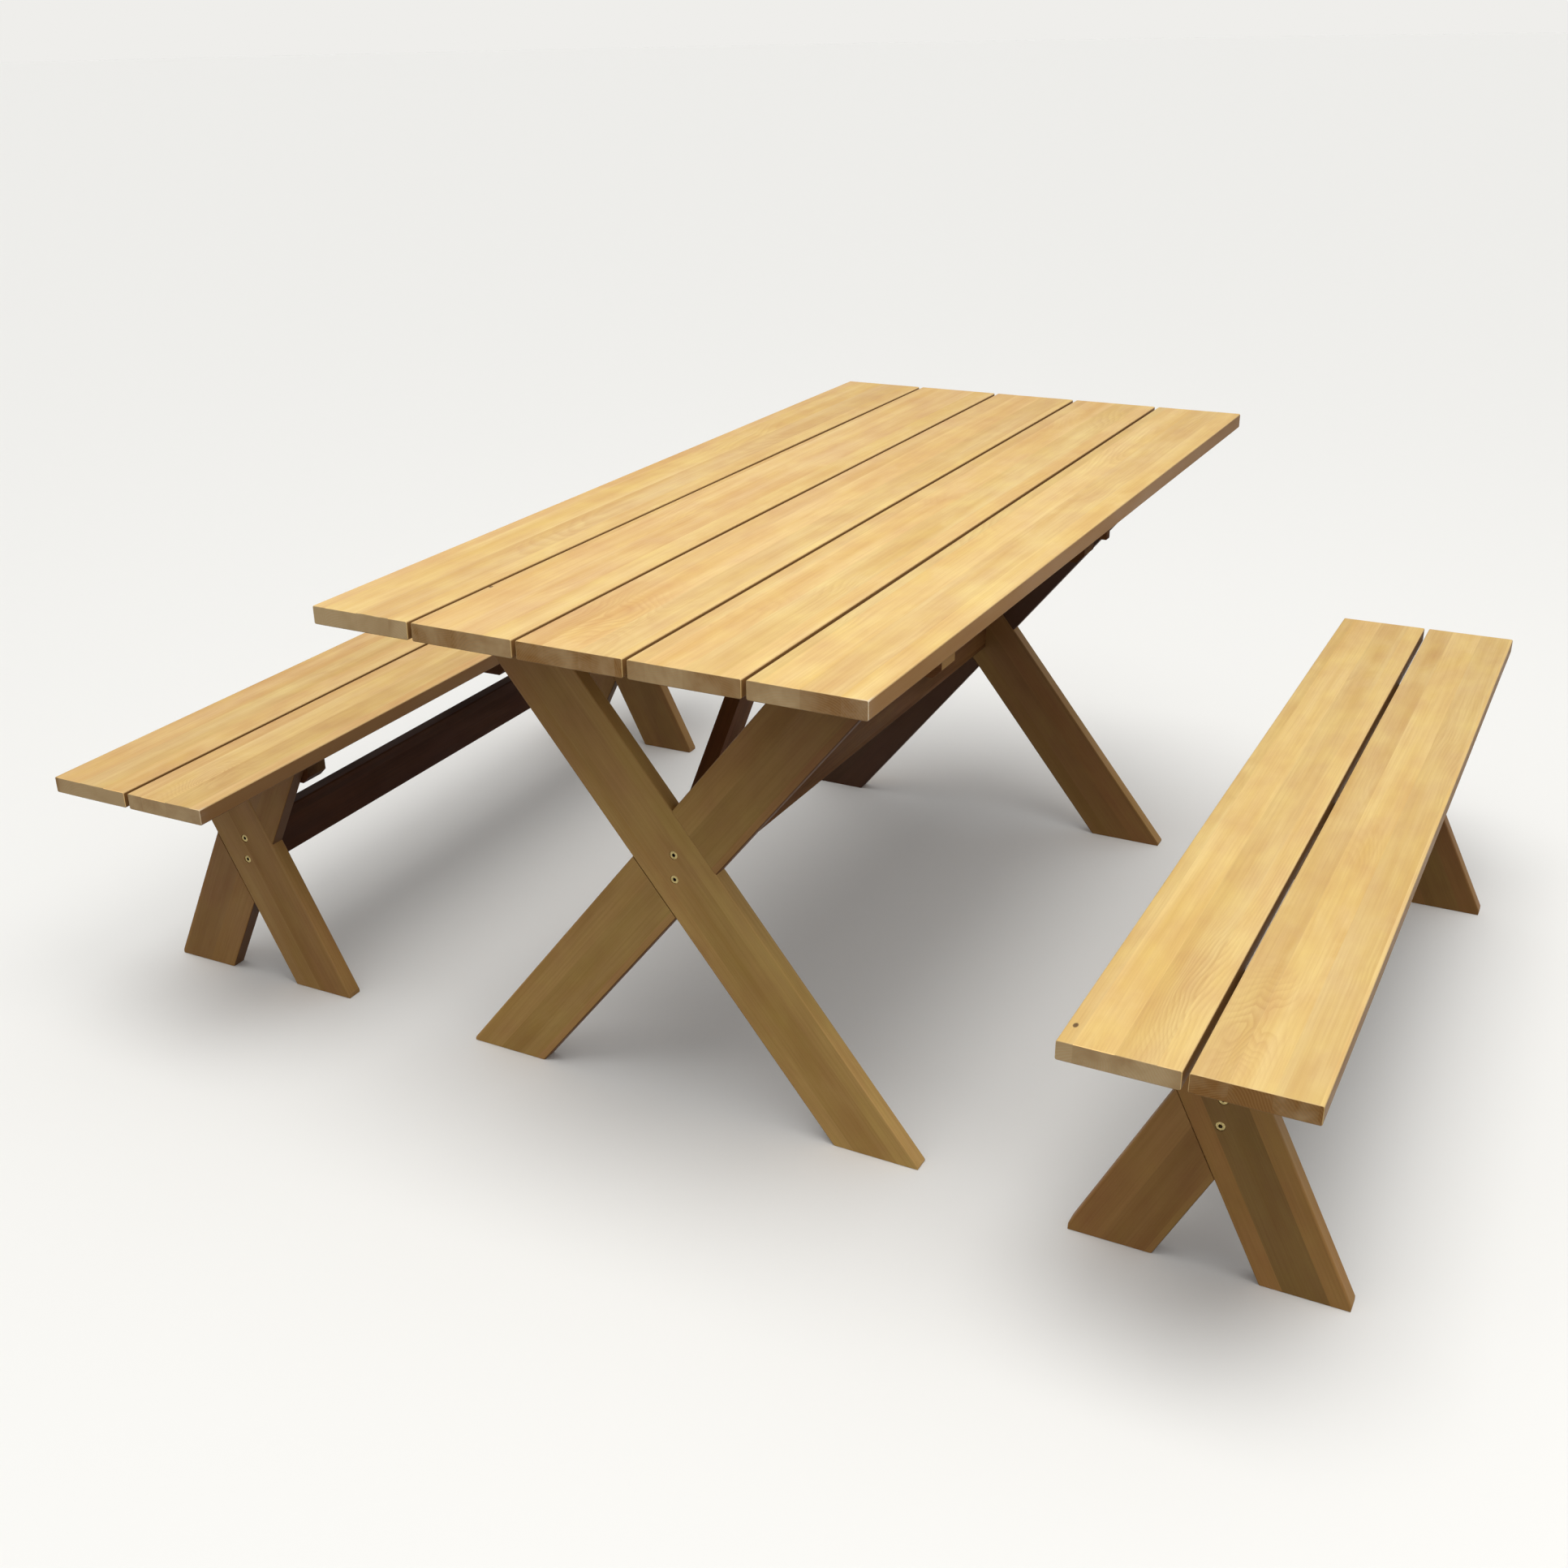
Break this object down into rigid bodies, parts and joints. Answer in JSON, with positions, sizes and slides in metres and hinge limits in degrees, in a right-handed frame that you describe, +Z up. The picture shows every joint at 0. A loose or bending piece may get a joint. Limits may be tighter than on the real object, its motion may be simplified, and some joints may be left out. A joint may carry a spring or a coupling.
{
  "type": "picnic table with benches",
  "caption": "Oiled wooden picnic table with a plank top on half-lapped X frames, a stretcher and diagonal braces, with matching free-standing plank benches along its long sides",
  "frame": {"origin": "on the ground, in the middle of the footprint of the table and its two benches", "axes": "+X across the table from the left bench to the right bench, +Y along the planks from the near end to the far end, +Z up"},
  "size_m": [1.8942, 1.5844, 0.74],
  "materials": {
    "top_boards": "golden oiled planed softwood",
    "frame_boards": "oiled planed softwood, browner and less worn than the top",
    "fittings": "yellow-zinc plated steel, dull"
  },
  "bodies": {
    "table": {"top_plank_1": "top_boards", "top_plank_2": "top_boards", "top_plank_3": "top_boards", "top_plank_4": "top_boards", "top_plank_5": "top_boards", "top_batten_near": "frame_boards", "top_batten_middle": "frame_boards", "top_batten_far": "frame_boards", "edge_block": "frame_boards", "near_frame_front_leg": "frame_boards", "near_frame_back_leg": "frame_boards", "far_frame_front_leg": "frame_boards", "far_frame_back_leg": "frame_boards", "table_stretcher": "frame_boards", "near_brace": "frame_boards", "far_brace": "frame_boards", "near_frame_bolts": "fittings", "far_frame_bolts": "fittings", "table_barrel_nuts": "fittings", "top_plank_screws": "fittings", "top_batten_screws": "fittings", "brace_screws": "fittings"},
    "left_bench": {"left_bench_plank_1": "top_boards", "left_bench_plank_2": "top_boards", "left_bench_batten_near": "frame_boards", "left_bench_batten_middle": "frame_boards", "left_bench_batten_far": "frame_boards", "left_bench_near_front_leg": "frame_boards", "left_bench_near_back_leg": "frame_boards", "left_bench_far_front_leg": "frame_boards", "left_bench_far_back_leg": "frame_boards", "left_bench_stretcher": "frame_boards", "left_bench_bolts": "fittings", "left_bench_barrel_nuts": "fittings", "left_bench_plank_screws": "fittings", "left_bench_batten_screws": "fittings"},
    "right_bench": {"right_bench_plank_1": "top_boards", "right_bench_plank_2": "top_boards", "right_bench_batten_near": "frame_boards", "right_bench_batten_middle": "frame_boards", "right_bench_batten_far": "frame_boards", "right_bench_near_front_leg": "frame_boards", "right_bench_near_back_leg": "frame_boards", "right_bench_far_front_leg": "frame_boards", "right_bench_far_back_leg": "frame_boards", "right_bench_stretcher": "frame_boards", "right_bench_bolts": "fittings", "right_bench_barrel_nuts": "fittings", "right_bench_plank_screws": "fittings", "right_bench_batten_screws": "fittings"}
  },
  "joints": [
    {"name": "left_bench_slide", "type": "slide", "parent": "table", "child": "left_bench", "axis": [-1, 0, 0], "range_m": [-0.24, 0.3]},
    {"name": "right_bench_slide", "type": "slide", "parent": "table", "child": "right_bench", "axis": [1, 0, 0], "range_m": [-0.2, 0.3]}
  ]
}
